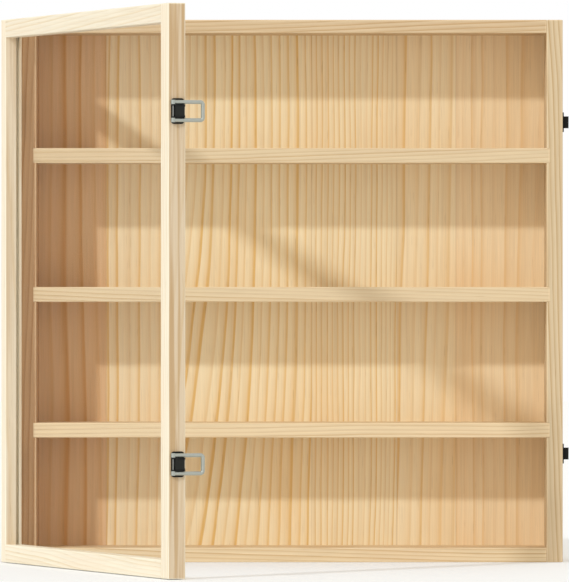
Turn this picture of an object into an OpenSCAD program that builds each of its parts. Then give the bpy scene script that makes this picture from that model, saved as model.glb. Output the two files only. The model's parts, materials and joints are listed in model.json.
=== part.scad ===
// Wall or shelf display case for thimbles, in natural pine with a glazed door.
// Millimetres, +Z up. The case faces -Y, and +X is to the viewer's right.
// The origin is the centre of the case's underside, which stands on the shelf.

/* [Case] */
// Width of the case over its sides
case_w = 350; // [250:1:500]
// Height of the case
case_h = 350; // [320:1:500]
// Depth of the case without its door
case_d = 65; // [50:1:110]
// Thickness of the two sides
side_t = 10.4; // [9.5:0.1:15]
// Thickness of the top board
top_t = 8.5; // [7.5:0.1:15]
// Thickness of the bottom board
bottom_t = 9.4; // [7.5:0.1:15]
// Radius of the eased edges of every wooden piece
edge_r = 0.7; // [0.3:0.1:1]

/* [Shelves] */
// Thickness of a shelf
shelf_t = 9.6; // [6:0.1:12]
// Depth of the housings that hold the shelves in the sides
housing_depth = 2; // [1:0.1:3]
// Clear height under the lower shelf
bottom_tier_h = 71; // [50:1:80]
// Clear height between the lower and the middle shelf
second_tier_h = 78; // [50:1:85]
// Clear height between the middle and the upper shelf
third_tier_h = 80; // [50:1:85]

/* [Back] */
// Thickness of the back panel
back_t = 5; // [4:0.1:6]
// Distance of the back panel from the rear edges
back_inset = 5; // [4.8:0.1:9]
// Depth of the grooves that hold the back panel
back_groove = 3; // [2:0.1:4]
// Room left round the panel in its grooves
panel_gap = 0.5; // [0.2:0.1:1]

/* [Dowels] */
// Diameter of the hidden corner dowels
dowel_d = 4; // [3:0.1:5]
// Length of a corner dowel inside the top or bottom board
dowel_in_board = 18; // [10:1:25]
// Length of a corner dowel inside the side
dowel_in_side = 6; // [4:0.1:7]
// Distance of the dowels from the front and rear edges
dowel_inset = 15; // [12:1:20]

/* [Door] */
// Thickness of the door frame
door_t = 11; // [10:0.1:16]
// Width of the stile on the hinge side
hinge_stile_w = 9.5; // [9.2:0.1:20]
// Width of the stile on the latch side
latch_stile_w = 15; // [12:0.1:25]
// Width of the top and bottom rails
rail_w = 11.5; // [8:0.1:20]
// Gap between the closed door and the case
door_gap = 0.5; // [0.3:0.1:1]
// Amount by which the door is shorter than the case at each end
door_trim = 0.4; // [0.2:0.1:1]
// Thickness of the clear pane
pane_t = 2; // [1.5:0.1:3]
// Depth of the pane behind the front of the door
pane_setback = 7.2; // [5:0.1:7.4]
// Depth of the grooves that hold the pane
pane_groove = 4; // [3:0.1:4]
// Room left beside the pane in its grooves
pane_play = 0.1; // [0.05:0.05:0.2]
// Room left at the edges of the pane in its grooves
pane_edge_gap = 0.5; // [0.3:0.1:1]
// Distance from a stile's end to the rail's tongue
tongue_shoulder = 3; // [2:0.1:4]
// Opening angle of the door as it is drawn
door_open = 71.3; // [0:0.1:180]

/* [Hinges] */
// Height of a hinge
hinge_h = 25; // [20:1:35]
// Distance of each hinge's centre from the end of the case
hinge_end = 60; // [45:1:62]
// Width of a hinge leaf
leaf_w = 7.6; // [6.5:0.1:7.8]
// Thickness of a hinge leaf
leaf_t = 1; // [0.8:0.1:1.2]
// Outer radius of the hinge knuckles
knuckle_r = 2; // [1.7:0.1:2.5]
// Radius of the hinge pin
hinge_pin_r = 0.9; // [0.7:0.1:1.1]
// Height of the hinge pin's head
pin_head_h = 0.6; // [0.4:0.1:1]
// Distance of the hinge screws from the leaf's ends
hinge_screw_end = 4.5; // [3.5:0.1:6]

/* [Latches] */
// Distance of the upper latch from the top of the case
upper_latch_drop = 66; // [40:1:68]
// Height of the lower latch above the underside
lower_latch_rise = 70; // [50:1:72]
// Height of the latch base plate
base_h = 15.6; // [15:0.1:20]
// Width of the latch base plate
base_w = 8.2; // [8:0.1:8.6]
// Distance of the base plate from the back of the door
base_inset = 1.1; // [1:0.1:1.4]
// Thickness of the base and keeper plates
plate_t = 0.8; // [0.6:0.1:0.9]
// Corner radius of the base plate
base_corner = 1.8; // [1:0.1:2.5]
// Width of the lever
lever_w = 8; // [7.6:0.1:8.1]
// Sheet thickness of the lever and of the keeper's hook
sheet_t = 0.7; // [0.6:0.05:0.75]
// Distance between the lever's pivot and the loop's pivot
lever_throw = 6.65; // [6.4:0.05:6.8]
// Radius of both latch pins
latch_pin_r = 0.6; // [0.5:0.05:0.65]
// Radius of the loop's wire
wire_r = 1.2; // [1:0.05:1.2]
// Length of the loop from its pivot to its far bar
loop_len = 18.8; // [17:0.1:20]
// Width of the loop over its wire
loop_w = 13.4; // [13.3:0.1:14.2]
// Radius of the loop's bends at the middle of the wire
loop_bend = 1.6; // [1.3:0.1:2]

/* [Keepers] */
// Height of the keeper plate
keeper_h = 12.8; // [12.6:0.1:16]
// Width of the keeper plate
keeper_w = 4.8; // [4.6:0.1:6]
// Height of the keeper's hook
hook_h = 7.7; // [5:0.1:8]
// Corner radius of the keeper plate
keeper_corner = 1.2; // [0.5:0.1:2]
// Angle by which the hook reaches over the loop's bar
hook_wrap = 70; // [45:1:80]

/* [Hangers] */
// Height of a keyhole hanger
hanger_h = 42; // [42:1:55]
// Width of a keyhole hanger
hanger_w = 16; // [14:0.5:20]
// Thickness of a keyhole hanger's sheet
hanger_t = 1.2; // [1:0.1:1.4]
// Rise of the hanger's middle from the back panel
hanger_rise = 3; // [2.5:0.1:3.2]
// Distance of the hangers' middles from the sides of the case
hanger_inset = 50; // [40:1:90]
// Distance of the hanger's top from the top of the case
hanger_drop = 22; // [15:1:40]
// Radius of the keyhole's entry
entry_r = 4.5; // [4:0.1:5]
// Radius of the keyhole's slot
slot_r = 2.25; // [2:0.05:2.5]
// Rise of the slot's end above the entry's centre
slot_rise = 9; // [8:0.5:10]

/* [Hidden] */
$fn = 48;

pine = [0.88, 0.73, 0.53];
pale_pine = [0.93, 0.83, 0.66];
beech = [0.80, 0.64, 0.45];
clear = [0.82, 0.92, 0.92, 0.3];
black = [0.12, 0.12, 0.12];
steel = [0.64, 0.66, 0.63];
zinc = [0.72, 0.73, 0.74];

// Overlap of a cutting shape with the face it starts from
cut = 1;
// Radial clearance of a screw in its hole
screw_gap = 0.03;
// Radial clearance of a turning pin in its bore
pin_gap = 0.05;
// Side clearance between sheet parts that turn past each other
sheet_gap = 0.1;
// Reach of a shape that only trims another
reach = 20;

front_y = -case_d / 2;
rear_y = case_d / 2;
inner_w = case_w - 2 * side_t;
panel_rear_y = rear_y - back_inset;
panel_front_y = panel_rear_y - back_t;
shelf_d = panel_front_y - front_y;
ceiling_z = case_h - top_t;
lower_shelf_z = bottom_t + bottom_tier_h;
middle_shelf_z = lower_shelf_z + shelf_t + second_tier_h;
upper_shelf_z = middle_shelf_z + shelf_t + third_tier_h;

door_back_y = front_y - door_gap;
door_front_y = door_back_y - door_t;
door_h = case_h - 2 * door_trim;
pane_slot = pane_t + 2 * pane_play;
pane_slot_y = door_front_y + pane_setback;

// The hinge axis stands outside the joint between the door and the case
knuckle_gap = 0.15;
pin_x = -case_w / 2 - knuckle_r - knuckle_gap;
pin_y = front_y - door_gap / 2;
// Room between the knuckles, and between a knuckle and the other leaf
knuckle_play = 0.2;
knuckle_h = (hinge_h - 2 * knuckle_play) / 3;
leaf_start = knuckle_r + knuckle_play;
hinge_z = [hinge_end, case_h - hinge_end];
hinge_screw_z = hinge_h / 2 - hinge_screw_end;

latch_z = [lower_latch_rise, case_h - upper_latch_drop];
// Latch sizes: x is the distance out from the door's edge, y the distance behind the door's back
lever_pivot_r = latch_pin_r + 0.5;
knuckle_wall_r = latch_pin_r + 0.55;
ear_r = latch_pin_r + 0.35;
pivot_v = plate_t + lever_pivot_r + sheet_gap;
// The flattened eyes of the loop stand out from its wire by this much at their rim
eye_rim = 0.1;
eye_r = wire_r + eye_rim;
loop_v = plate_t + eye_r + sheet_gap;
lever_top = pivot_v + ear_r + sheet_gap + sheet_t;
pivot_inset = 0.75;
pivot_u = -base_inset - pivot_inset;
loop_pivot_u = pivot_u - lever_throw;
bar_u = loop_pivot_u + loop_len;
// The lever's flanks run past its pivots, and its skin starts behind the loop pin
lever_tail = 0.3;
lever_nose = 0.4;
skin_setback = 0.8;
flank_lift = 0.2;
lever_corner = 0.6;
lever_end_u = pivot_u + lever_tail;
skin_front_u = loop_pivot_u + skin_setback;
arm_z = loop_w / 2 - wire_r;
// The loop pin's ends lie this far inside the loop's sides
loop_pin_inset = 0.2;
// The eyes are this much thicker than the wire
eye_swell = 0.2;
base_screw_step = 3.35;
base_screw_u = pivot_u - base_screw_step;
base_screw_z = 1.75;

hook_inner_r = wire_r + sheet_gap;
hook_outer_r = hook_inner_r + sheet_t;
hook_front_u = bar_u - hook_outer_r;
keeper_rear_u = hook_front_u + sheet_t;
keeper_screw_step = 2.9;
keeper_screw_end = 1.5;
keeper_screw_u = keeper_rear_u - keeper_screw_step;
keeper_screw_z = keeper_h / 2 - keeper_screw_end;

hanger_x = case_w / 2 - hanger_inset;
hanger_top = case_h - hanger_drop;
hanger_corner = 3;
flange_h = 9;
ramp_h = 3;
entry_rise = 0.5;
entry_z = hanger_top - hanger_h + flange_h + ramp_h + entry_r + entry_rise;

// Screws, each as shank radius, head radius, head height and whole length
hinge_screw = [1, 1.9, leaf_t, 8];
base_screw = [0.8, 1.4, plate_t, 6];
keeper_screw = [0.8, 1.45, 0.12, 7];
hanger_screw = [1.1, 2.2, 1.2, 5.4];
screw_tip = 1.5;
screw_tip_r = 0.1;
recess_depth = 0.5;

// General shapes

module rounded_rect(w, h, r) {
    translate([r, 0]) square([w - 2 * r, h]);
    translate([0, r]) square([w, h - 2 * r]);
    for (x = [r, w - r], y = [r, h - r]) translate([x, y]) circle(r);
}

// A bar from the origin with all of its edges eased
module eased_bar(size) {
    intersection() {
        linear_extrude(size[2]) rounded_rect(size[0], size[1], edge_r);
        translate([0, size[1], 0]) rotate([90, 0, 0])
            linear_extrude(size[1]) rounded_rect(size[0], size[2], edge_r);
        rotate([90, 0, 90]) linear_extrude(size[0]) rounded_rect(size[1], size[2], edge_r);
    }
}

// A board along X with its four long edges eased and its ends cut square
module eased_board(size) {
    rotate([90, 0, 90]) linear_extrude(size[0]) rounded_rect(size[1], size[2], edge_r);
}

// A board along X with only its two front edges eased
module shelf_board(size) {
    rotate([90, 0, 90]) linear_extrude(size[0]) {
        translate([edge_r, 0]) square([size[1] - edge_r, size[2]]);
        translate([0, edge_r]) square([edge_r, size[2] - 2 * edge_r]);
        for (z = [edge_r, size[2] - edge_r]) translate([edge_r, z]) circle(edge_r);
    }
}

// Screws point along -Z, with the head's seat at the origin's level
module countersunk_screw(s) {
    difference() {
        union() {
            translate([0, 0, -s[2]]) cylinder(h = s[2], r1 = s[0], r2 = s[1]);
            translate([0, 0, screw_tip - s[3]]) cylinder(h = s[3] - screw_tip - s[2], r = s[0]);
            translate([0, 0, -s[3]]) cylinder(h = screw_tip, r1 = screw_tip_r, r2 = s[0]);
        }
        cross_recess(s[1], recess_depth);
    }
}

module domed_screw(s) {
    difference() {
        union() {
            intersection() {
                translate([0, 0, s[2] - dome_r(s)]) sphere(dome_r(s));
                cylinder(h = s[2] + cut, r = s[1]);
            }
            translate([0, 0, screw_tip - s[3]]) cylinder(h = s[3] - screw_tip, r = s[0]);
            translate([0, 0, -s[3]]) cylinder(h = screw_tip, r1 = screw_tip_r, r2 = s[0]);
        }
        translate([0, 0, s[2]]) cross_recess(s[1], s[2] * 0.5);
    }
}

// Radius of the sphere that a dome of this width and height is cut from
function dome_r(s) = (s[1] * s[1] + s[2] * s[2]) / (2 * s[2]);

module cross_recess(head_r, depth) {
    arm = head_r * 1.1;
    slit = head_r * 0.22;
    for (a = [0, 90]) rotate([0, 0, a]) translate([-arm / 2, -slit / 2, -depth])
        cube([arm, slit, depth + cut]);
}

// The hole for a countersunk screw, from above its seat down to its tip
module countersunk_hole(s) {
    translate([0, 0, -s[2]]) cylinder(h = s[2], r1 = s[0] + screw_gap, r2 = s[1] + screw_gap);
    shank_hole(s);
}

module shank_hole(s) {
    translate([0, 0, -s[3] - screw_gap]) cylinder(h = s[3] + screw_gap + cut, r = s[0] + screw_gap);
}

// The case

module side_board(x) {
    difference() {
        translate([x, front_y, 0]) eased_bar([side_t, case_d, case_h]);
        for (z = [lower_shelf_z, middle_shelf_z, upper_shelf_z]) shelf_space(z);
        back_space();
        dowel_set(screw_gap);
    }
}

module shelf_space(z) {
    translate([-inner_w / 2 - housing_depth, front_y - cut, z])
        cube([inner_w + 2 * housing_depth, shelf_d + cut, shelf_t]);
}

module back_space() {
    translate([-inner_w / 2 - back_groove, panel_front_y, bottom_t - back_groove])
        cube([inner_w + 2 * back_groove, back_t, ceiling_z - bottom_t + 2 * back_groove]);
}

// The corner dowels, or the holes for them when play is given
module dowel_set(play) {
    for (side = [-1, 1], y = [front_y + dowel_inset, panel_front_y - dowel_inset],
         z = [bottom_t / 2, ceiling_z + top_t / 2])
        translate([side * (inner_w / 2 + (dowel_in_side - dowel_in_board) / 2), y, z])
            rotate([0, 90, 0]) cylinder(h = dowel_in_side + dowel_in_board + 2 * play,
                                        d = dowel_d + 2 * play, center = true);
}

module left_side() {
    color(pine) difference() {
        side_board(-case_w / 2);
        for (z = hinge_z) translate([0, 0, z]) leaf_screws(1) shank_hole(hinge_screw);
    }
}

module right_side() {
    color(pine) difference() {
        side_board(case_w / 2 - side_t);
        at_keepers() keeper_screw_places() shank_hole(keeper_screw);
    }
}

module cross_board(z, t) {
    color(pine) difference() {
        translate([-inner_w / 2, front_y, z]) eased_board([inner_w, case_d, t]);
        back_space();
        dowel_set(screw_gap);
    }
}

module shelf(z) {
    color(pale_pine) translate([-inner_w / 2 - housing_depth, front_y, z])
        shelf_board([inner_w + 2 * housing_depth, shelf_d, shelf_t]);
}

module back_panel() {
    w = inner_w + 2 * (back_groove - panel_gap);
    h = ceiling_z - bottom_t + 2 * (back_groove - panel_gap);
    color(pine) difference() {
        translate([-w / 2, panel_front_y, bottom_t - back_groove + panel_gap]) cube([w, back_t, h]);
        at_hanger_screws() shank_hole(hanger_screw);
    }
}

// Butt hinges on the outside of the joint, drawn about the level of their middle.
// The case's leaf lies behind the pin (side 1) and the door's in front of it (side -1)

module leaf_plate(side) {
    y = side > 0 ? leaf_start : -leaf_start - leaf_w;
    translate([-case_w / 2 - leaf_t, pin_y + y, -hinge_h / 2]) cube([leaf_t, leaf_w, hinge_h]);
}

// A knuckle of height h from level z, with its tab to the leaf
module knuckle(side, z, h, bore_r) {
    y = side > 0 ? 0 : -leaf_start;
    difference() {
        union() {
            translate([pin_x, pin_y, z]) cylinder(h = h, r = knuckle_r);
            translate([-case_w / 2 - leaf_t, pin_y + y, z]) cube([leaf_t, leaf_start, h]);
        }
        translate([pin_x, pin_y, z - cut]) cylinder(h = h + 2 * cut, r = bore_r);
    }
}

module leaf_screws(side) {
    for (z = [-hinge_screw_z, hinge_screw_z])
        translate([-case_w / 2 - leaf_t, pin_y + side * (leaf_start + leaf_w / 2), z])
            rotate([0, -90, 0]) children();
}

module case_leaf() {
    color(black) difference() {
        union() {
            leaf_plate(1);
            for (z = [-hinge_h / 2, hinge_h / 2 - knuckle_h])
                knuckle(1, z, knuckle_h, hinge_pin_r + screw_gap);
        }
        leaf_screws(1) countersunk_hole(hinge_screw);
    }
}

module door_leaf() {
    color(black) difference() {
        union() {
            leaf_plate(-1);
            knuckle(-1, -knuckle_h / 2, knuckle_h, hinge_pin_r + pin_gap);
        }
        leaf_screws(-1) countersunk_hole(hinge_screw);
    }
}

module hinge_pin() {
    translate([pin_x, pin_y, -hinge_h / 2]) cylinder(h = hinge_h, r = hinge_pin_r);
    for (z = [-hinge_h / 2 - pin_head_h, hinge_h / 2])
        translate([pin_x, pin_y, z]) cylinder(h = pin_head_h, r = knuckle_r * 0.65);
}

// The door is drawn closed, then turned open about the hinge axis
module open_door() {
    translate([pin_x, pin_y, 0]) rotate([0, 0, -door_open]) translate([-pin_x, -pin_y, 0])
        children();
}

module pane_space(inset) {
    x = -case_w / 2 + hinge_stile_w - pane_groove + inset;
    w = case_w - hinge_stile_w - latch_stile_w + 2 * (pane_groove - inset);
    z = door_trim + rail_w - pane_groove + inset;
    translate([x, pane_slot_y, z]) cube([w, pane_slot, case_h - 2 * z]);
}

// The grooves for the pane and for the rails' tongues in both stiles
module stile_grooves() {
    w = case_w - hinge_stile_w - latch_stile_w + 2 * pane_groove;
    translate([-case_w / 2 + hinge_stile_w - pane_groove, pane_slot_y, door_trim + tongue_shoulder])
        cube([w, pane_slot, door_h - 2 * tongue_shoulder]);
}

module hinge_stile() {
    color(pale_pine) open_door() difference() {
        translate([-case_w / 2, door_front_y, door_trim]) eased_bar([hinge_stile_w, door_t, door_h]);
        stile_grooves();
        for (z = hinge_z) translate([0, 0, z]) leaf_screws(-1) shank_hole(hinge_screw);
    }
}

module latch_stile() {
    color(pale_pine) open_door() difference() {
        translate([case_w / 2 - latch_stile_w, door_front_y, door_trim])
            eased_bar([latch_stile_w, door_t, door_h]);
        stile_grooves();
        for (z = latch_z) at_latch(z) base_screw_places() shank_hole(base_screw);
    }
}

module rail(z) {
    x = -case_w / 2 + hinge_stile_w;
    w = case_w - hinge_stile_w - latch_stile_w;
    tongue_z = z < case_h / 2 ? z + tongue_shoulder : z;
    color(pale_pine) open_door() difference() {
        union() {
            translate([x, door_front_y, z]) eased_board([w, door_t, rail_w]);
            translate([x - pane_groove, pane_slot_y, tongue_z])
                cube([w + 2 * pane_groove, pane_slot, rail_w - tongue_shoulder]);
        }
        pane_space(0);
    }
}

module door_pane() {
    inset = pane_edge_gap;
    x = -case_w / 2 + hinge_stile_w - pane_groove + inset;
    w = case_w - hinge_stile_w - latch_stile_w + 2 * (pane_groove - inset);
    z = door_trim + rail_w - pane_groove + inset;
    color(clear) open_door() translate([x, pane_slot_y + pane_play, z])
        cube([w, pane_t, case_h - 2 * z]);
}

// Latches. In their own frame x points out of the door's edge and y towards the wall

module at_latch(z) {
    translate([case_w / 2, door_back_y, z]) children();
}

// The place of a latch on the opened door
module on_door(z) {
    open_door() at_latch(z) children();
}

module at_keepers() {
    for (z = latch_z) at_latch(z) children();
}

module base_screw_places() {
    for (z = [-base_screw_z, base_screw_z])
        translate([plate_t, base_screw_u, z]) rotate([0, 90, 0]) children();
}

module keeper_screw_places() {
    for (z = [-keeper_screw_z, keeper_screw_z])
        translate([plate_t, keeper_screw_u, z]) rotate([0, 90, 0]) children();
}

// A plate with rounded corners that lies on the door's edge, from level y along Y
module seat_plate(y, w, h, corner) {
    rotate([0, 90, 0]) rotate([0, 0, 90]) translate([y, -h / 2, 0])
        linear_extrude(plate_t) rounded_rect(w, h, corner);
}

module latch_base() {
    ear_out = lever_w / 2 - sheet_t - sheet_gap;
    difference() {
        union() {
            seat_plate(-base_inset - base_w, base_w, base_h, base_corner);
            translate([0, pivot_u - ear_r, -ear_out]) cube([plate_t, 2 * ear_r, 2 * ear_out]);
            for (z = [-ear_out, ear_out - sheet_t]) translate([0, 0, z]) {
                translate([pivot_v, pivot_u, 0]) cylinder(h = sheet_t, r = ear_r);
                translate([0, pivot_u - ear_r, 0]) cube([pivot_v, 2 * ear_r, sheet_t]);
            }
        }
        translate([pivot_v, pivot_u, 0])
            cylinder(h = lever_w, r = latch_pin_r + screw_gap, center = true);
        base_screw_places() countersunk_hole(base_screw);
    }
}

// Side outline of the lever, with a round end about each of its two pivots
module lever_outline() {
    underside_v = pivot_v - lever_pivot_r + flank_lift;
    translate([underside_v, loop_pivot_u - lever_nose])
        rounded_rect(lever_top - underside_v, lever_end_u - loop_pivot_u + lever_nose, lever_corner);
    translate([pivot_v, pivot_u]) circle(lever_pivot_r);
    translate([loop_v, loop_pivot_u]) circle(knuckle_wall_r);
}

module latch_lever() {
    inside = lever_w - 2 * sheet_t;
    difference() {
        intersection() {
            translate([0, 0, -lever_w / 2]) linear_extrude(lever_w) lever_outline();
            translate([lever_top - reach, loop_pivot_u + reach / 2, -lever_w / 2]) rotate([90, 0, 0])
                linear_extrude(reach) rounded_rect(reach, lever_w, lever_corner);
        }
        translate([lever_top - sheet_t - reach, loop_pivot_u - reach / 2, -inside / 2])
            cube([reach, reach, inside]);
        translate([lever_top + cut - reach, skin_front_u - reach, -inside / 2])
            cube([reach, reach, inside]);
        for (p = [[pivot_v, pivot_u], [loop_v, loop_pivot_u]]) translate([p[0], p[1], 0])
            cylinder(h = lever_w + cut, r = latch_pin_r + pin_gap, center = true);
    }
}

module lever_pin() {
    translate([pivot_v, pivot_u, 0])
        cylinder(h = lever_w - sheet_gap, r = latch_pin_r, center = true);
}

module loop_pin() {
    translate([loop_v, loop_pivot_u, 0])
        cylinder(h = loop_w - 2 * loop_pin_inset, r = latch_pin_r, center = true);
}

// A bent wire with an eye at each end, which turns on the loop pin
module wire_loop() {
    straight = loop_len - loop_bend;
    translate([loop_v, loop_pivot_u, 0]) difference() {
        union() {
            for (s = [-1, 1]) {
                translate([0, 0, s * arm_z]) {
                    cylinder(h = 2 * wire_r + eye_swell, r = eye_r, center = true);
                    rotate([-90, 0, 0]) cylinder(h = straight, r = wire_r);
                }
                translate([0, straight, s * (arm_z - loop_bend)]) rotate([0, -s * 90, 0])
                    rotate_extrude(angle = 90) translate([loop_bend, 0]) circle(wire_r);
            }
            translate([0, loop_len, 0])
                cylinder(h = 2 * (arm_z - loop_bend), r = wire_r, center = true);
        }
        cylinder(h = loop_w + cut, r = latch_pin_r + pin_gap, center = true);
    }
}

module keeper() {
    tip_a = hook_wrap - 90;
    difference() {
        union() {
            seat_plate(keeper_rear_u - keeper_w, keeper_w, keeper_h, keeper_corner);
            translate([0, hook_front_u, -hook_h / 2]) cube([loop_v, sheet_t, hook_h]);
            translate([loop_v, bar_u, -hook_h / 2]) linear_extrude(hook_h) {
                difference() {
                    circle(hook_outer_r);
                    circle(hook_inner_r);
                    rotate([0, 0, tip_a]) translate([-reach / 2, 0]) square(reach);
                    translate([-reach, -reach / 2]) square(reach);
                }
                rotate([0, 0, tip_a]) translate([hook_inner_r + sheet_t / 2, 0])
                    circle(sheet_t / 2);
            }
        }
        keeper_screw_places() shank_hole(keeper_screw);
    }
}

// Keyhole hangers on the rear of the back panel, near its upper corners

module at_hanger_screws() {
    low = hanger_top - hanger_h + flange_h / 2;
    high = hanger_top - flange_h / 2;
    for (x = [-hanger_x, hanger_x], z = [low, high])
        translate([x, panel_rear_y + hanger_t, z]) rotate([-90, 0, 0]) children();
}

module hanger(x) {
    top = hanger_h;
    inner = [[0, 0], [0, flange_h], [hanger_rise, flange_h + ramp_h],
             [hanger_rise, top - flange_h - ramp_h], [0, top - flange_h], [0, top]];
    outer = [for (i = [len(inner) - 1 : -1 : 0]) [inner[i][0] + hanger_t, inner[i][1]]];
    color(zinc) difference() {
        translate([x, panel_rear_y, hanger_top - hanger_h]) intersection() {
            translate([-hanger_w / 2, 0, 0]) rotate([90, 0, 90])
                linear_extrude(hanger_w) polygon(concat(inner, outer));
            translate([-hanger_w / 2, reach / 2, 0]) rotate([90, 0, 0])
                linear_extrude(reach) rounded_rect(hanger_w, hanger_h, hanger_corner);
        }
        translate([x, panel_rear_y + hanger_rise, entry_z]) rotate([-90, 0, 0]) {
            translate([0, 0, -cut]) cylinder(h = hanger_t + 2 * cut, r = entry_r);
            translate([0, -slot_rise, -cut]) cylinder(h = hanger_t + 2 * cut, r = slot_r);
            translate([-slot_r, -slot_rise, -cut]) cube([2 * slot_r, slot_rise, hanger_t + 2 * cut]);
        }
        at_hanger_screws() shank_hole(hanger_screw);
    }
}

// Groups of like pieces

module corner_dowels() {
    color(beech) dowel_set(0);
}

module hinge_case_screws() {
    color(black) for (z = hinge_z) translate([0, 0, z])
        leaf_screws(1) countersunk_screw(hinge_screw);
}

module hinge_door_screws() {
    color(black) open_door() for (z = hinge_z) translate([0, 0, z])
        leaf_screws(-1) countersunk_screw(hinge_screw);
}

module hinge_pins() {
    color(black) for (z = hinge_z) translate([0, 0, z]) hinge_pin();
}

module keeper_screws() {
    color(black) at_keepers() keeper_screw_places() domed_screw(keeper_screw);
}

module hanger_screws() {
    color(zinc) at_hanger_screws() domed_screw(hanger_screw);
}

module latch_base_screws() {
    color(black) for (z = latch_z) on_door(z)
        base_screw_places() countersunk_screw(base_screw);
}

module lever_pins() {
    color(steel) for (z = latch_z) on_door(z) lever_pin();
}

left_side();
right_side();
cross_board(ceiling_z, top_t);  // top_board
cross_board(0, bottom_t);  // bottom_board
shelf(upper_shelf_z);  // upper_shelf
shelf(middle_shelf_z);  // middle_shelf
shelf(lower_shelf_z);  // lower_shelf
back_panel();
corner_dowels();
translate([0, 0, hinge_z[1]]) case_leaf();  // upper_hinge_case_leaf
translate([0, 0, hinge_z[0]]) case_leaf();  // lower_hinge_case_leaf
hinge_case_screws();
hinge_pins();
color(black) at_latch(latch_z[1]) keeper();  // upper_keeper
color(black) at_latch(latch_z[0]) keeper();  // lower_keeper
keeper_screws();
hanger(-hanger_x);  // left_hanger
hanger(hanger_x);  // right_hanger
hanger_screws();
hinge_stile();
latch_stile();
rail(door_trim + door_h - rail_w);  // top_rail
rail(door_trim);  // bottom_rail
door_pane();
open_door() translate([0, 0, hinge_z[1]]) door_leaf();  // upper_hinge_door_leaf
open_door() translate([0, 0, hinge_z[0]]) door_leaf();  // lower_hinge_door_leaf
hinge_door_screws();
color(black) on_door(latch_z[1]) latch_base();  // upper_latch_base
color(black) on_door(latch_z[0]) latch_base();  // lower_latch_base
latch_base_screws();
lever_pins();
color(black) on_door(latch_z[1]) latch_lever();  // upper_latch_lever
color(black) on_door(latch_z[0]) latch_lever();  // lower_latch_lever
color(steel) on_door(latch_z[1]) loop_pin();  // upper_loop_pin
color(steel) on_door(latch_z[0]) loop_pin();  // lower_loop_pin
color(steel) on_door(latch_z[1]) wire_loop();  // upper_loop
color(steel) on_door(latch_z[0]) wire_loop();  // lower_loop
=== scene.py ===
"""A pine display case for thimbles, with a glazed door held by two draw latches.

Every length is in metres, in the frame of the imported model: +X to the viewer's
right, -Y out of the open front, +Z up.
"""
import json
from math import pi, radians

import bmesh
import bpy
from bpy.props import FloatProperty, FloatVectorProperty, PointerProperty
from mathutils import Matrix, Vector

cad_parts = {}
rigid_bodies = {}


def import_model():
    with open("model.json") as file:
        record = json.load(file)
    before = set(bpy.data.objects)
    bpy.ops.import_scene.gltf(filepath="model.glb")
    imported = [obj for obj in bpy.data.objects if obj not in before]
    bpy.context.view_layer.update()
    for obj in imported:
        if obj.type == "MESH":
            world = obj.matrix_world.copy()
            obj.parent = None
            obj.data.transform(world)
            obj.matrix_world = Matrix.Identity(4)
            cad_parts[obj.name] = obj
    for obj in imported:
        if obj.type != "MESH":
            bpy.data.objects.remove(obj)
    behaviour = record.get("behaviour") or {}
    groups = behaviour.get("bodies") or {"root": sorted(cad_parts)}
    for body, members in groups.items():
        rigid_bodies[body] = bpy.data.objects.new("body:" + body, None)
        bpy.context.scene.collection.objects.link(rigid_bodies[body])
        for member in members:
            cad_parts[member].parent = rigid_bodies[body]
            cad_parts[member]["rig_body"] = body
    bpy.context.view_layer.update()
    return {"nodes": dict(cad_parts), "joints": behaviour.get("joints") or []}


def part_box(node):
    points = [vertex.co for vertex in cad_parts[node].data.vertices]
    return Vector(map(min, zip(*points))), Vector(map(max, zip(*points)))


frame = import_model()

bl_info = {
    "name": "Thimble display case",
    "version": (1, 0, 0),
    "blender": (4, 5, 0),
    "location": "3D View > Sidebar > Case",
    "description": "Finishes a pine display case with a glazed door and draw latches",
    "category": "Add Mesh",
}


def joint_named(name):
    """The record's joint of that name."""
    return next(j for j in frame["joints"] if j["name"] == name)


# The door is drawn open, so its closed limit gives the angle it stands at
HINGE = Vector(joint_named("door_hinge")["pos_m"])
OPEN_ANGLE = -radians(joint_named("door_hinge")["range_deg"][0])
CLOSE_DOOR = (Matrix.Translation(HINGE) @ Matrix.Rotation(OPEN_ANGLE, 4, "Z")
              @ Matrix.Translation(-HINGE))
NO_TURN = Matrix.Identity(4)


def straight_box(node):
    """A node's box with the door closed, and the matrix that closes it."""
    closing = CLOSE_DOOR if frame["nodes"][node]["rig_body"] != "case" else NO_TURN
    places = [closing @ v.co for v in frame["nodes"][node].data.vertices]
    low = Vector([min(p[i] for p in places) for i in range(3)])
    high = Vector([max(p[i] for p in places) for i in range(3)])
    return low, high, closing


# Shader maths ---------------------------------------------------------------

# How deep inside a box its faces still count as faces, from fully to not at all
FACE_DEPTHS = (0.00004, 0.00016)


class Value:
    """A number that varies over a surface, so that shader maths reads as Python."""

    def __init__(self, finish, socket):
        self.finish = finish
        self.socket = socket

    def maths(self, operation, *others):
        return self.finish.maths(operation, self, *others)

    def __add__(self, other):
        return self.maths("ADD", other)

    __radd__ = __add__

    def __sub__(self, other):
        return self.maths("SUBTRACT", other)

    def __rsub__(self, other):
        return self.finish.maths("SUBTRACT", other, self)

    def __mul__(self, other):
        return self.maths("MULTIPLY", other)

    __rmul__ = __mul__

    def __truediv__(self, other):
        return self.maths("DIVIDE", other)

    def __pow__(self, other):
        return self.maths("POWER", other)

    def __gt__(self, other):
        return self.maths("GREATER_THAN", other)

    def __lt__(self, other):
        return self.maths("LESS_THAN", other)

    def __abs__(self):
        return self.maths("ABSOLUTE")


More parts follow.
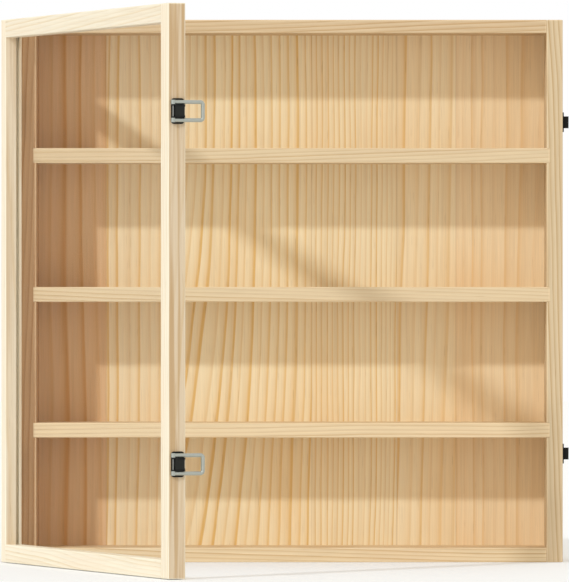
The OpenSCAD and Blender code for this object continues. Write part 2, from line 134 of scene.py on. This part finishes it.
class Finish:
    """The nodes of a material or a world, built up from Python expressions."""

    def __init__(self, owner):
        self.owner = owner
        owner.use_nodes = True
        self.tree = owner.node_tree
        self.tree.nodes.clear()

    def node(self, kind, settings=None, inputs=None, output=0):
        """Adds a node and returns one of its outputs. Inputs are values or links."""
        made = self.tree.nodes.new("ShaderNode" + kind)
        for key, setting in (settings or {}).items():
            if key == "stops":
                self.set_stops(made.color_ramp, setting)
            else:
                setattr(made, key, setting)
        for key, given in (inputs or {}).items():
            socket = made.inputs[key]
            if isinstance(given, Value):
                self.tree.links.new(given.socket, socket)
            else:
                socket.default_value = given
        return Value(self, made.outputs[output])

    @staticmethod
    def set_stops(ramp, stops):
        """Gives a ramp these pairs of a place and a grey level."""
        while len(ramp.elements) < len(stops):
            ramp.elements.new(1.0)
        for element, (place, level) in zip(ramp.elements, stops):
            element.position = place
            element.color = (level, level, level, 1.0)

    def maths(self, operation, *operands):
        """The result of one Math node."""
        return self.node("Math", {"operation": operation}, dict(enumerate(operands)))

    def lowest(self, a, b):
        return self.maths("MINIMUM", a, b)

    def highest(self, a, b):
        return self.maths("MAXIMUM", a, b)

    def graded(self, value, stops):
        """A value passed through a grey ramp."""
        return self.node("ValToRGB", {"stops": stops}, {0: value})

    def fade(self, value, start, end):
        """0 up to start and 1 from end, with a soft step between them."""
        return self.node("MapRange", {"interpolation_type": "SMOOTHSTEP"},
                         {"Value": value, "From Min": start, "From Max": end})

    def place(self, matrix=NO_TURN):
        """Object coordinates, seen in the frame that the matrix leads to."""
        here = self.node("TexCoord", output="Object")
        if matrix == NO_TURN:
            return here
        return self.node("Mapping", None, {
            "Vector": here, "Location": matrix.to_translation(),
            "Rotation": matrix.to_euler()})

    def split(self, vector):
        """The three parts of a vector."""
        apart = self.node("SeparateXYZ", None, {0: vector}).socket.node
        return [Value(self, socket) for socket in apart.outputs]

    def join(self, x, y, z):
        """A vector of three values, or a grey colour where all three are one value."""
        return self.node("CombineXYZ", None, {0: x, 1: y, 2: z})

    def noise(self, vector, scale, detail=2.0, roughness=0.5):
        """Soft noise from 0 to 1 with this many features to the metre."""
        return self.node("TexNoise", None, {
            "Vector": vector, "Scale": scale, "Detail": detail, "Roughness": roughness})

    def marks(self, spots, fineness, shift=(0.0, 0.0, 0.0), detail=2.0):
        """Noise drawn out along the grain.

        spots are the places along, across and into the grain, fineness counts the
        features to the metre across it and along it, and shift moves the noise.
        """
        along, across, deep = spots
        fine, coarse = fineness
        moved = [place + step if step else place
                 for place, step in zip((across * fine, deep * fine, along * coarse), shift)]
        return self.noise(self.join(*moved), 1.0, detail)

    def level_of(self, seed):
        """A random level from 0 to 1 for each whole number."""
        return self.node("TexWhiteNoise", {"noise_dimensions": "1D"}, {"W": seed})

    def mix(self, factor, a, b, blend="MIX"):
        """A colour between a and b."""
        return self.node("Mix", {"data_type": "RGBA", "blend_type": blend}, {
            0: factor, 6: a, 7: b}, output=2)

    def rim(self, spot, low, high):
        """1 on the two faces that bound a box along one axis, and 0 inside it."""
        return 1 - self.fade(self.lowest(spot - low, high - spot), *FACE_DEPTHS)

    def edge(self, spots, low, high, near, far):
        """1 on a box's arrises, fading to 0 between near and far from them."""
        depths = [self.lowest(s - low[i], high[i] - s) for i, s in enumerate(spots)]
        first = self.lowest(depths[0], depths[1])
        second = self.highest(depths[0], depths[1])
        nearest = self.highest(first, self.lowest(second, depths[2]))
        return 1 - self.fade(nearest, near, far)

    def surface(self, inputs, bump=None, depth=0.0):
        """A principled surface, with a bump of that depth in metres."""
        if bump is not None:
            inputs["Normal"] = self.node("Bump", None, {
                "Height": bump, "Distance": depth, "Strength": 1.0})
        return self.output("OutputMaterial", self.node("BsdfPrincipled", None, inputs))

    def output(self, kind, shader):
        """Ends the nodes with that shader, and returns the material or the world."""
        end = self.tree.nodes.new("ShaderNode" + kind)
        self.tree.links.new(shader.socket, end.inputs["Surface"])
        return self.owner


def solid(colour):
    """A colour with full alpha, as a socket takes it."""
    return (*colour, 1.0)


def tinted(colour, *factors):
    """A colour with its red, green and blue multiplied, as a socket takes it."""
    return solid([min(1.0, part * factor) for part, factor in zip(colour, factors)])


# What a user would change ----------------------------------------------------

def colour_property(name, description, default):
    """A colour without alpha."""
    return FloatVectorProperty(name=name, description=description, default=default,
                               subtype="COLOR", size=3, min=0.0, max=1.0)


class WoodLook(bpy.types.PropertyGroup):
    """Colours and figure of the pine."""

    case_pale: colour_property(
        "Case early wood", "Pale wood of the case, between its growth lines",
        (0.82, 0.65, 0.42))
    case_dark: colour_property(
        "Case late wood", "Growth lines of the case", (0.64, 0.43, 0.22))
    shelf_pale: colour_property(
        "Shelf early wood", "Pale wood of the shelves", (0.82, 0.65, 0.42))
    shelf_dark: colour_property(
        "Shelf late wood", "Growth lines of the shelves", (0.66, 0.46, 0.25))
    back_pale: colour_property(
        "Back early wood", "Pale wood of the back panel", (0.93, 0.785, 0.530))
    back_dark: colour_property(
        "Back late wood", "Growth lines of the back panel", (0.78, 0.50, 0.18))
    door_pale: colour_property(
        "Door early wood", "Pale wood of the door frame", (0.94, 0.86, 0.70))
    door_dark: colour_property(
        "Door late wood", "Growth lines of the door frame", (0.84, 0.70, 0.48))
    fibre: FloatProperty(
        name="Fibre", description="How strongly the fine fibres show",
        default=0.10, min=0.0, max=1.0, subtype="FACTOR")


class HardwareLook(bpy.types.PropertyGroup):
    """Colours and roundness of the latches and hinges."""

    black: colour_property(
        "Black paint", "Baked black paint of latches, keepers and hinges",
        (0.004, 0.004, 0.0035))
    # A painted highlight: the lighter black in the middle of the faces
    sheen_colour: colour_property(
        "Thin paint", "Middle of the faces, where the black paint is thinner",
        (0.021, 0.022, 0.019))
    wire: colour_property(
        "Wire", "Drawn wire of the loops and pins", (0.43, 0.45, 0.395))
    zinc: colour_property(
        "Zinc", "Zinc plate of the hangers", (0.58, 0.59, 0.60))
    softness: FloatProperty(
        name="Edge softness", description="Radius that the pressed edges get",
        default=0.00022, min=0.0, max=0.0004, subtype="DISTANCE", unit="LENGTH")


class StageLook(bpy.types.PropertyGroup):
    """Camera, lamps and floor."""

    camera_distance: FloatProperty(
        name="Camera distance", description="From the camera to the case's front edges",
        default=5.5, min=1.0, max=20.0, subtype="DISTANCE", unit="LENGTH")
    view_width: FloatProperty(
        name="View width", description="Width of the view at the case's front edges",
        default=0.3671, min=0.1, max=2.0, subtype="DISTANCE", unit="LENGTH")
    view_centre: FloatProperty(
        name="View centre",
        description="How far the camera stands to the right of the case's middle",
        default=-0.0045, min=-0.2, max=0.2, subtype="DISTANCE", unit="LENGTH")
    key_strength: FloatProperty(
        name="Key lamp", description="Strength of the lamp at the upper left",
        default=1.18, min=0.0, max=10.0)
    key_size: FloatProperty(
        name="Key softness", description="Angle that the key lamp fills in the sky",
        default=radians(3), min=0.0, max=radians(60), subtype="ANGLE", unit="ROTATION")
    fill_strength: FloatProperty(
        name="Fill", description="Strength of the even light from all sides",
        default=0.82, min=0.0, max=3.0)
    fill_colour: colour_property(
        "Fill colour", "Tint of the even light", (1.0, 0.94, 0.835))
    floor_colour: colour_property(
        "Floor", "Pale floor under the case", (0.86, 0.885, 0.92))


# Wood -----------------------------------------------------------------------

# The axes that run along a board's grain, across its face and into its face
ALONG_X = (0, 2, 1)
ALONG_Z = (2, 0, 1)

# Marks in pine: how many there are to the metre across its grain, and along it
WANDER = (9, 2.2)
RIPPLE = (70, 11)
FIBRE = (1300, 30)
STREAK = (330, 7)
BLOTCH = (22, 7)
DUCT = (1500, 70)

# Redder heartwood, which on some boards is painted shade
HEARTWOOD_AND_SHADE = (0.98, 0.76, 0.62)
RESIN = (0.38, 0.22, 0.10)
GLUE_LINE = (0.42, 0.24, 0.11)

PALE_BEECH = (0.66, 0.45, 0.28)
DARK_BEECH = (0.54, 0.35, 0.20)
BEECH_FLECK = (0.36, 0.20, 0.10)


def strip(beside, behind, ring, lean=0.0, dip=0.0, tone_and_shade=0.0, red=0.0, figure=1.0, start=None):
    """One strip of a board, from its start to the next strip's.

    The log's heart lay that far beside and behind the board's middle, and leant
    and dipped along it. ring is the width of a year, tone is lighter or darker
    wood, red is redder heartwood, both of them painted shade on some boards, and
    figure is how strongly its rings show.
    """
    return {"beside": beside, "behind": behind, "ring": ring, "lean": lean, "dip": dip,
            "tone_and_shade": tone_and_shade, "red": red, "figure": figure, "start": start}


def stepped(across, strips, key):
    """A strip's value, which changes at each glue line across the board."""
    value = strips[0][key]
    for before, after in zip(strips, strips[1:]):
        if after[key] != before[key]:
            value = (across > after["start"]) * (after[key] - before[key]) + value
    return value


def late_wood(finish, spots, strips, seed):
    """The dark late part of each year's growth ring, 0 in its pale early part.

    The rings lie about the log's heart, so they run through the whole board.
    """
    along, across, deep = spots
    wander = finish.marks(spots, WANDER, (seed, 0, 0))
    ripple = finish.marks(spots, RIPPLE, (0, 0, seed))
    beside = across - stepped(across, strips, "beside") - along * stepped(across, strips, "lean")
    behind = deep - stepped(across, strips, "behind") - along * stepped(across, strips, "dip")
    bend = (wander - 0.5) * 0.016 + (ripple - 0.5) * 0.0022
    reach = (beside * beside + behind * behind) ** 0.5 + bend
    pace = finish.noise(finish.join(reach * 55 + seed, 0.0, 0.0), 1.0, 1.0)
    years = reach / stepped(across, strips, "ring") + pace * 1.2
    late = finish.graded(finish.maths("FRACT", years), [
        (0.0, 0.0), (0.32, 0.05), (0.64, 0.34), (0.85, 1.0), (0.92, 0.92), (1.0, 0.0)])
    vigour = 0.40 + finish.level_of(finish.maths("FLOOR", years) + seed) * 0.80
    return late * vigour * stepped(across, strips, "figure")


def pine(node, run, strips, pale, dark, seed, flank_figure_and_shade=0.0):
    """Pine for one board, which is cut from one strip or glued up from several.

    run is ALONG_X or ALONG_Z, and flank is how much darker the board's narrow
    sides are, where the rings lie flat: streaks of their figure, and painted shade.
    """
    finish = Finish(bpy.data.materials.new(node + "_pine"))
    low, high, closing = straight_box(node)
    places = finish.split(finish.place(closing))
    spots = [places[axis] for axis in run]
    along, across, _ = spots

    late = late_wood(finish, spots, strips, seed)
    fibre = finish.marks(spots, FIBRE, (0, 0, seed), 3.0)
    streak = finish.marks(spots, STREAK, (seed, 0, 0), 3.0)
    blotch = finish.marks(spots, BLOTCH, (0, seed, 0), 3.0)
    duct = finish.fade(finish.marks(spots, DUCT, (seed, 0, 0), 0.0), 0.70, 0.80)
    end = finish.rim(along, low[run[0]], high[run[0]])
    arris = finish.edge(places, low, high, 0.0003, 0.0011)

    colour = finish.mix(late, solid(pale), solid(dark))
    colour = finish.mix(finish.fade(blotch, 0.45, 0.8) * 0.28, colour,
                        tinted(dark, 1.10, 1.05, 1.15))
    colour = finish.mix(finish.fade(streak, 0.48, 0.75) * 0.45, colour,
                        tinted(pale, 0.86, 0.79, 0.70))
    # Redder heartwood, which on some boards is painted shade
    colour = finish.mix(stepped(across, strips, "red"), colour, solid(HEARTWOOD_AND_SHADE), "MULTIPLY")
    # Lighter or darker wood, which on some boards is painted shade
    light = (1 + (fibre - 0.5) * (2 * bpy.context.scene.case_wood.fibre)
             + stepped(across, strips, "tone_and_shade"))
    colour = finish.mix(1.0, colour, finish.join(light, light, light), "MULTIPLY")
    colour = finish.mix(duct * (late + 0.4) * 0.22, colour, solid(RESIN))
    colour = finish.mix(end * 0.45, colour, tinted(dark, 0.80, 0.72, 0.66))
    # Narrow sides darkened: streaks of the flat-lying rings, and painted shade
    if flank_figure_and_shade:
        shade = finish.rim(across, low[run[1]], high[run[1]]) * flank_figure_and_shade
        shade = shade * (0.55 + finish.fade(streak, 0.38, 0.62) * 0.45)
        colour = finish.mix(shade, colour, tinted(dark, 0.64, 0.50, 0.36))
    colour = finish.mix(arris * 0.35, colour, tinted(pale, 1.12, 1.12, 1.12))
    for later in strips[1:]:
        seam = 1 - finish.fade(abs(across - later["start"]), 0.0001, 0.0005)
        colour = finish.mix(seam * 0.22, colour, solid(GLUE_LINE))

    rough = 0.60 - late * 0.10 + fibre * 0.10 + end * 0.12 - arris * 0.06
    relief = late * 0.5 + fibre * 0.35 - duct * 0.3
    return finish.surface({
        "Base Color": colour, "Roughness": rough, "Specular IOR Level": 0.32},
        relief, 0.00006)


def dress(node, material):
    """Gives a CAD node that material in all of its slots."""
    mesh = frame["nodes"][node].data
    mesh.materials.clear()
    mesh.materials.append(material)


class CASE_OT_dress_carcass(bpy.types.Operator):
    """Finish the sides, top and bottom in pine"""

    bl_idname = "case.dress_carcass"
    bl_label = "Dress the carcass"

    def execute(self, context):
        wood = context.scene.case_wood
        boards = [
            # The left side's darker, redder wood is painted shade. The right side's and the top
            # board's darker tones are painted shade, and the top board's red is painted warm
            # shade.
            ("left_side", ALONG_Z, 3.1,
             strip(-0.235, 0.020, 0.0026, lean=0.02, tone_and_shade=-0.32, red=1.0)),
            ("right_side", ALONG_Z, 8.4, strip(0.236, -0.012, 0.0027, lean=-0.03, tone_and_shade=-0.16)),
            ("top_board", ALONG_X, 5.2,
             strip(0.395, 0.010, 0.0021, lean=0.03, tone_and_shade=-0.16, red=0.2)),
            ("bottom_board", ALONG_X, 1.7, strip(-0.055, -0.015, 0.0024, lean=-0.02)),
        ]
        for node, run, seed, cut in boards:
            dress(node, pine(node, run, [cut], wood.case_pale, wood.case_dark, seed))
        return {"FINISHED"}


class CASE_OT_dress_shelves(bpy.types.Operator):
    """Finish the three shelves in pine"""

    bl_idname = "case.dress_shelves"
    bl_label = "Dress the shelves"

    def execute(self, context):
        wood = context.scene.case_wood
        boards = [
            # The upper and middle shelves' darker tones are painted shade.
            ("upper_shelf", 2.3, strip(0.330, 0.012, 0.0023, lean=0.04, tone_and_shade=-0.10)),
            ("middle_shelf", 6.6, strip(0.105, -0.020, 0.0025, lean=-0.03, tone_and_shade=-0.08)),
            ("lower_shelf", 9.9, strip(0.150, 0.005, 0.0022, lean=0.02)),
        ]
        for node, seed, cut in boards:
            dress(node, pine(node, ALONG_X, [cut], wood.shelf_pale, wood.shelf_dark, seed))
        return {"FINISHED"}


class CASE_OT_dress_back(bpy.types.Operator):
    """Finish the back panel as strips glued edge to edge"""

    bl_idname = "case.dress_back"
    bl_label = "Dress the back panel"

    def execute(self, context):
        wood = context.scene.case_wood
        strips = [
            # The leftmost strip's darker, redder wood is painted shade.
            strip(-0.205, -0.030, 0.0085, lean=-0.03, dip=0.05, tone_and_shade=-0.15, red=0.9),
            strip(-0.178, -0.020, 0.0058, lean=-0.01, dip=0.05, tone_and_shade=-0.02, red=0.12,
                  figure=0.9, start=-0.1206),
            strip(-0.0960, -0.0325, 0.0053, lean=-0.02, dip=0.12, tone_and_shade=0.01,
                  figure=1.15, start=-0.0760),
            strip(-0.060, 0.030, 0.0034, lean=0.01, dip=0.01, tone_and_shade=-0.01, red=0.05,
                  figure=0.8, start=0.0133),
            strip(-0.030, 0.040, 0.0075, lean=0.02, dip=0.01, tone_and_shade=-0.01, red=0.13,
                  figure=0.8, start=0.0687),
            strip(0.172, 0.060, 0.0050, lean=-0.01, dip=0.02, tone_and_shade=-0.02, red=0.32,
                  figure=0.45, start=0.1072),
        ]
        dress("back_panel", pine("back_panel", ALONG_Z, strips, wood.back_pale,
                                 wood.back_dark, 4.4))
        return {"FINISHED"}


class CASE_OT_dress_door(bpy.types.Operator):
    """Finish the door's stiles and rails in paler pine"""

    bl_idname = "case.dress_door"
    bl_label = "Dress the door frame"

    def execute(self, context):
        wood = context.scene.case_wood
        pieces = [
            # The fourth number darkens each piece's narrow sides: streaks of the flat-lying
            # rings, and painted shade.
            ("hinge_stile", ALONG_Z, 7.7, 0.6, strip(-0.240, -0.020, 0.0028, lean=0.02)),
            ("latch_stile", ALONG_Z, 2.9, 0.9,
             strip(0.120, -0.070, 0.0030, lean=0.03, dip=0.02)),
            ("top_rail", ALONG_X, 5.8, 0.2,
             strip(0.395, -0.062, 0.0027, lean=0.05, dip=0.02, tone_and_shade=-0.04)),
            ("bottom_rail", ALONG_X, 0.6, 0.0,
             strip(-0.045, -0.065, 0.0026, lean=-0.04, dip=0.02)),
        ]
        for node, run, seed, flank_figure_and_shade, cut in pieces:
            dress(node, pine(node, run, [cut], wood.door_pale, wood.door_dark, seed, flank_figure_and_shade))
        return {"FINISHED"}


class CASE_OT_dress_dowels(bpy.types.Operator):
    """Finish the corner dowels in turned beech"""

    bl_idname = "case.dress_dowels"
    bl_label = "Dress the dowels"

    def execute(self, context):
        finish = Finish(bpy.data.materials.new("turned_beech"))
        x, y, z = finish.split(finish.place())
        fleck = finish.fade(finish.noise(finish.join(x * 220, y * 1600, z * 1600), 1.0, 2.0),
                            0.55, 0.75)
        fibre = finish.noise(finish.join(x * 40, y * 900, z * 900), 1.0, 3.0)
        colour = finish.mix(fibre, solid(PALE_BEECH), solid(DARK_BEECH))
        colour = finish.mix(fleck * 0.5, colour, solid(BEECH_FLECK))
        dress("corner_dowels", finish.surface({
            "Base Color": colour, "Roughness": 0.5 + fibre * 0.2}, fibre, 0.00005))
        return {"FINISHED"}


# Pane -----------------------------------------------------------------------

CLEAR_TINTS = ((0.90, 0.96, 0.94), (0.95, 0.98, 0.97))
SHEET_IOR = 1.49


class CASE_OT_dress_pane(bpy.types.Operator):
    """Finish the pane as clear polished sheet"""

    bl_idname = "case.dress_pane"
    bl_label = "Dress the pane"

    def execute(self, context):
        finish = Finish(bpy.data.materials.new("clear_sheet"))
        place = finish.place()
        haze = finish.noise(place, 26.0, 3.0)
        specks = finish.fade(finish.noise(place, 900.0, 0.0), 0.80, 0.88)
        grazing = finish.node("LayerWeight", None, {"Blend": 0.18}, output="Facing")
        # Alpha: faint haze and dust specks, and a painted reflection that shows more of the pale
        # sheet at grazing angles
        dust_and_sheen = 0.004 + (grazing ** 3.0) * 0.03 + specks * 0.02 + haze * 0.006
        tint = finish.mix(haze, *map(solid, CLEAR_TINTS))
        dress("door_pane", finish.surface({
            "Base Color": tint, "Roughness": 0.03 + haze * 0.03, "IOR": SHEET_IOR,
            "Alpha": dust_and_sheen}))
        return {"FINISHED"}


# Metal ----------------------------------------------------------------------

LATCHES = ("upper_latch_base", "lower_latch_base", "upper_latch_lever", "lower_latch_lever")
KEEPERS = ("upper_keeper", "lower_keeper")
HINGES = ("upper_hinge_case_leaf", "lower_hinge_case_leaf", "upper_hinge_door_leaf",
          "lower_hinge_door_leaf", "hinge_pins")
BLACK_SCREWS = ("hinge_case_screws", "hinge_door_screws", "keeper_screws",
                "latch_base_screws")
LOOPS = ("upper_loop", "lower_loop")
PINS = ("upper_loop_pin", "lower_loop_pin", "lever_pins")
HANGERS = ("left_hanger", "right_hanger", "hanger_screws")

# How much of the painted highlight shows in the middle of the faces
PAINTED_SHEEN = 1.0
PAINTED_SHEEN_ON_KEEPERS = 0.25

RUBBED_EDGE_AND_GLINT = (0.05, 0.05, 0.048)
OXIDE = (0.016, 0.016, 0.017)
OXIDE_BLOOM = (0.042, 0.040, 0.038)
DULL_WIRE = (0.30, 0.32, 0.29)
BRIGHT_WIRE = (0.62, 0.64, 0.60)
OILED = (0.16, 0.16, 0.15)
OILED_STAIN = (0.27, 0.27, 0.25)
ZINC_SHADE = (0.40, 0.42, 0.44)

WELD_REACH = 0.000002
BEVEL_STEPS = 3
BEVEL_FROM = radians(38)


def black_paint(node, sheen_share):
    """Baked black paint, rubbed on the piece's edges, with painted highlights along the edges
    and in the middle of its faces.
    """
    look = bpy.context.scene.case_hardware
    finish = Finish(bpy.data.materials.new(node + "_black_paint"))
    low, high, closing = straight_box(node)
    place = finish.place(closing)
    spots = finish.split(place)
    peel = finish.noise(place, 2600.0, 2.0)
    cloud = finish.noise(place, 260.0, 3.0)
    # Paint rubbed off the edges, which also stands in for a painted highlight along them
    rub_and_glint = finish.edge(spots, low, high, 0.0001, 0.0009) * finish.fade(cloud, 0.35, 0.65)
    # A painted highlight in the middle of the faces
    middle = 1 - finish.edge(spots, low, high, 0.0005, 0.0016)
    colour = finish.mix(middle * (sheen_share * (0.5 + cloud * 0.5)), solid(look.black),
                        solid(look.sheen_colour))
    colour = finish.mix(rub_and_glint * 0.5, colour, solid(RUBBED_EDGE_AND_GLINT))
    return finish.surface({
        "Base Color": colour, "Roughness": 0.34 + peel * 0.12 + rub_and_glint * 0.10,
        "Metallic": rub_and_glint * 0.2, "Specular IOR Level": 0.16}, peel, 0.00002)


def black_oxide():
    """Thin black oxide on turned steel."""
    finish = Finish(bpy.data.materials.new("black_oxide"))
    place = finish.place()
    bloom = finish.noise(place, 900.0, 3.0)
    turned = finish.noise(place, 4200.0, 1.0)
    colour = finish.mix(bloom, solid(OXIDE), solid(OXIDE_BLOOM))
    return finish.surface({
        "Base Color": colour, "Metallic": 0.35, "Roughness": 0.36 + bloom * 0.16},
        turned, 0.00001)


def drawn_steel():
    """Dull wire with the fine lines of its drawing."""
    finish = Finish(bpy.data.materials.new("drawn_steel"))
    place = finish.place(CLOSE_DOOR)
    x, y, z = finish.split(place)
    drawn = finish.noise(finish.join(x * 5200, y * 160, z * 5200), 1.0, 2.0)
    dull = finish.noise(place, 420.0, 3.0)
    colour = finish.mix(dull * 0.5, solid(bpy.context.scene.case_hardware.wire),
                        solid(DULL_WIRE))
    colour = finish.mix(drawn * 0.25, colour, solid(BRIGHT_WIRE))
    return finish.surface({
        "Base Color": colour, "Metallic": 0.85, "Roughness": 0.34 + dull * 0.16},
        drawn, 0.00001)


def oiled_steel():
    """Dark, stained steel of the pins."""
    finish = Finish(bpy.data.materials.new("oiled_steel"))
    stain = finish.noise(finish.place(), 900.0, 3.0)
    colour = finish.mix(stain, solid(OILED), solid(OILED_STAIN))
    return finish.surface({
        "Base Color": colour, "Metallic": 0.9, "Roughness": 0.38 + stain * 0.14},
        stain, 0.00001)


def zinc_plate():
    """Zinc plate with faint spangles."""
    finish = Finish(bpy.data.materials.new("zinc_plate"))
    place = finish.place()
    spangle = finish.node("TexVoronoi", {"feature": "F1"}, {
        "Vector": place, "Scale": 420.0}, output="Color")
    shade = finish.split(spangle)[0]
    cloud = finish.noise(place, 120.0, 4.0)
    colour = finish.mix(shade * 0.35 + cloud * 0.2,
                        solid(bpy.context.scene.case_hardware.zinc), solid(ZINC_SHADE))
    return finish.surface({
        "Base Color": colour, "Metallic": 0.9,
        "Roughness": 0.30 + shade * 0.12 + cloud * 0.12}, cloud, 0.00003)


def soften(node, radius):
    """Joins a CAD node's faces and rounds its pressed edges."""
    shell = frame["nodes"][node]
    weld = shell.modifiers.new("join_faces", "WELD")
    weld.merge_threshold = WELD_REACH
    bevel = shell.modifiers.new("pressed_edges", "BEVEL")
    bevel.width = radius
    bevel.segments = BEVEL_STEPS
    bevel.limit_method = "ANGLE"
    bevel.angle_limit = BEVEL_FROM
    bevel.use_clamp_overlap = True
    bevel.harden_normals = False


class CASE_OT_dress_hardware(bpy.types.Operator):
    """Finish the latches, keepers, hinges and their screws in black"""

    bl_idname = "case.dress_hardware"
    bl_label = "Dress the black hardware"

    def execute(self, context):
        for node in LATCHES + HINGES:
            dress(node, black_paint(node, PAINTED_SHEEN))
        for node in KEEPERS:
            dress(node, black_paint(node, PAINTED_SHEEN_ON_KEEPERS))
        for node in LATCHES + KEEPERS:
            soften(node, context.scene.case_hardware.softness)
        oxide = black_oxide()
        for node in BLACK_SCREWS:
            dress(node, oxide)
        return {"FINISHED"}


class CASE_OT_dress_wire(bpy.types.Operator):
    """Finish the wire loops and their pins in steel"""

    bl_idname = "case.dress_wire"
    bl_label = "Dress the wire loops"

    def execute(self, context):
        for nodes, steel in ((LOOPS, drawn_steel()), (PINS, oiled_steel())):
            for node in nodes:
                dress(node, steel)
        return {"FINISHED"}


class CASE_OT_dress_hangers(bpy.types.Operator):
    """Finish the keyhole hangers and their screws in zinc plate"""

    bl_idname = "case.dress_hangers"
    bl_label = "Dress the hangers"

    def execute(self, context):
        zinc = zinc_plate()
        for node in HANGERS:
            dress(node, zinc)
        return {"FINISHED"}


# Stage ----------------------------------------------------------------------

FLOOR_REACH = 8.0
FLOOR_SHADE = (0.83, 0.855, 0.89)
FLOOR_GLOW = 0.12
KEY_COLOUR = (0.93, 0.99, 1.05)
# The light falls to the right, into the case and down, as the tiers' shadows show
KEY_PATH = (0.70, 1.0, -0.76)
SENSOR_WIDTH = 36.0  # in millimetres, as the camera takes it
VIEW_END = 50.0


def white_to_camera(finish):
    """1 where the camera, a mirror or a clear sheet looks, and 0 for other light."""
    path = finish.node("LightPath").socket.node.outputs
    seen = Value(finish, path["Is Camera Ray"]) + Value(finish, path["Is Glossy Ray"])
    return finish.lowest(seen + Value(finish, path["Is Transmission Ray"]), 1.0)


class CASE_OT_set_stage(bpy.types.Operator):
    """Put up the floor, the lamps and the camera"""

    bl_idname = "case.set_stage"
    bl_label = "Set the stage"

    def execute(self, context):
        look = context.scene.case_stage
        self.lay_floor(context, look)
        self.hang_lamps(context, look)
        self.place_camera(context, look)
        context.scene.view_settings.view_transform = "Standard"
        return {"FINISHED"}

    def lay_floor(self, context, look):
        """Lays a pale floor that keeps the object's shadow."""
        shape = bmesh.new()
        bmesh.ops.create_grid(shape, x_segments=1, y_segments=1, size=FLOOR_REACH)
        mesh = bpy.data.meshes.new("floor")
        shape.to_mesh(mesh)
        shape.free()
        floor = bpy.data.objects.new("floor", mesh)
        context.scene.collection.objects.link(floor)
        finish = Finish(bpy.data.materials.new("pale_floor"))
        mottle = finish.noise(finish.place(), 3.0, 3.0)
        colour = finish.mix(mottle * 0.3, solid(look.floor_colour), solid(FLOOR_SHADE))
        glow = white_to_camera(finish) * FLOOR_GLOW
        glow = finish.join(glow, glow, glow)
        mesh.materials.append(finish.surface({
            "Base Color": colour, "Roughness": 0.7 + mottle * 0.1,
            "Specular IOR Level": 0.2, "Emission Color": glow, "Emission Strength": 1.0}))

    def hang_lamps(self, context, look):
        """Lights the case evenly from all sides, and softly from the upper left."""
        sky = Finish(bpy.data.worlds.new("even_light"))
        fill = tuple(look.fill_strength * part for part in look.fill_colour)
        colour = sky.mix(white_to_camera(sky), solid(fill), (1.0, 1.0, 1.0, 1.0))
        glow = sky.node("Background", None, {"Color": colour})
        context.scene.world = sky.output("OutputWorld", glow)

        lamp = bpy.data.lights.new("key_lamp", "SUN")
        lamp.energy = look.key_strength
        lamp.angle = look.key_size
        lamp.color = KEY_COLOUR
        key = bpy.data.objects.new("key_lamp", lamp)
        context.scene.collection.objects.link(key)
        key.rotation_euler = Vector(KEY_PATH).to_track_quat("-Z", "Y").to_euler()

    def place_camera(self, context, look):
        """Looks straight into the case from its front."""
        lens = bpy.data.cameras.new("camera")
        lens.sensor_fit = "HORIZONTAL"
        lens.sensor_width = SENSOR_WIDTH
        lens.lens = SENSOR_WIDTH * look.camera_distance / look.view_width
        lens.clip_end = VIEW_END
        camera = bpy.data.objects.new("camera", lens)
        context.scene.collection.objects.link(camera)
        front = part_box("left_side")[0].y
        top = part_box("left_side")[1].z
        camera.location = (look.view_centre, front - look.camera_distance, top / 2)
        camera.rotation_euler = (pi / 2, 0.0, 0.0)
        context.scene.camera = camera


# Add-on ---------------------------------------------------------------------

STEPS = (
    CASE_OT_dress_carcass, CASE_OT_dress_shelves, CASE_OT_dress_back, CASE_OT_dress_door,
    CASE_OT_dress_dowels, CASE_OT_dress_pane, CASE_OT_dress_hardware, CASE_OT_dress_wire,
    CASE_OT_dress_hangers, CASE_OT_set_stage,
)
LOOKS = {"case_wood": WoodLook, "case_hardware": HardwareLook, "case_stage": StageLook}


class CASE_PT_steps(bpy.types.Panel):
    """Lists the steps and the values that they use"""

    bl_idname = "CASE_PT_steps"
    bl_label = "Display case"
    bl_space_type = "VIEW_3D"
    bl_region_type = "UI"
    bl_category = "Case"

    def draw(self, context):
        """Shows each group of values in a box, and the steps under them."""
        for key, look in LOOKS.items():
            box = self.layout.box()
            for name in look.__annotations__:
                box.prop(getattr(context.scene, key), name)
        for step in STEPS:
            self.layout.operator(step.bl_idname)


def register():
    """Adds the operators, the panel and the values."""
    for part in (*LOOKS.values(), *STEPS, CASE_PT_steps):
        bpy.utils.register_class(part)
    for key, look in LOOKS.items():
        setattr(bpy.types.Scene, key, PointerProperty(type=look))


def unregister():
    """Takes them all away again."""
    for key in LOOKS:
        delattr(bpy.types.Scene, key)
    for part in (CASE_PT_steps, *reversed(STEPS), *reversed(LOOKS.values())):
        bpy.utils.unregister_class(part)


def main():
    """Runs every step."""
    register()
    for step in STEPS:
        area, name = step.bl_idname.split(".")
        getattr(getattr(bpy.ops, area), name)()


if __name__ == "__main__":
    main()
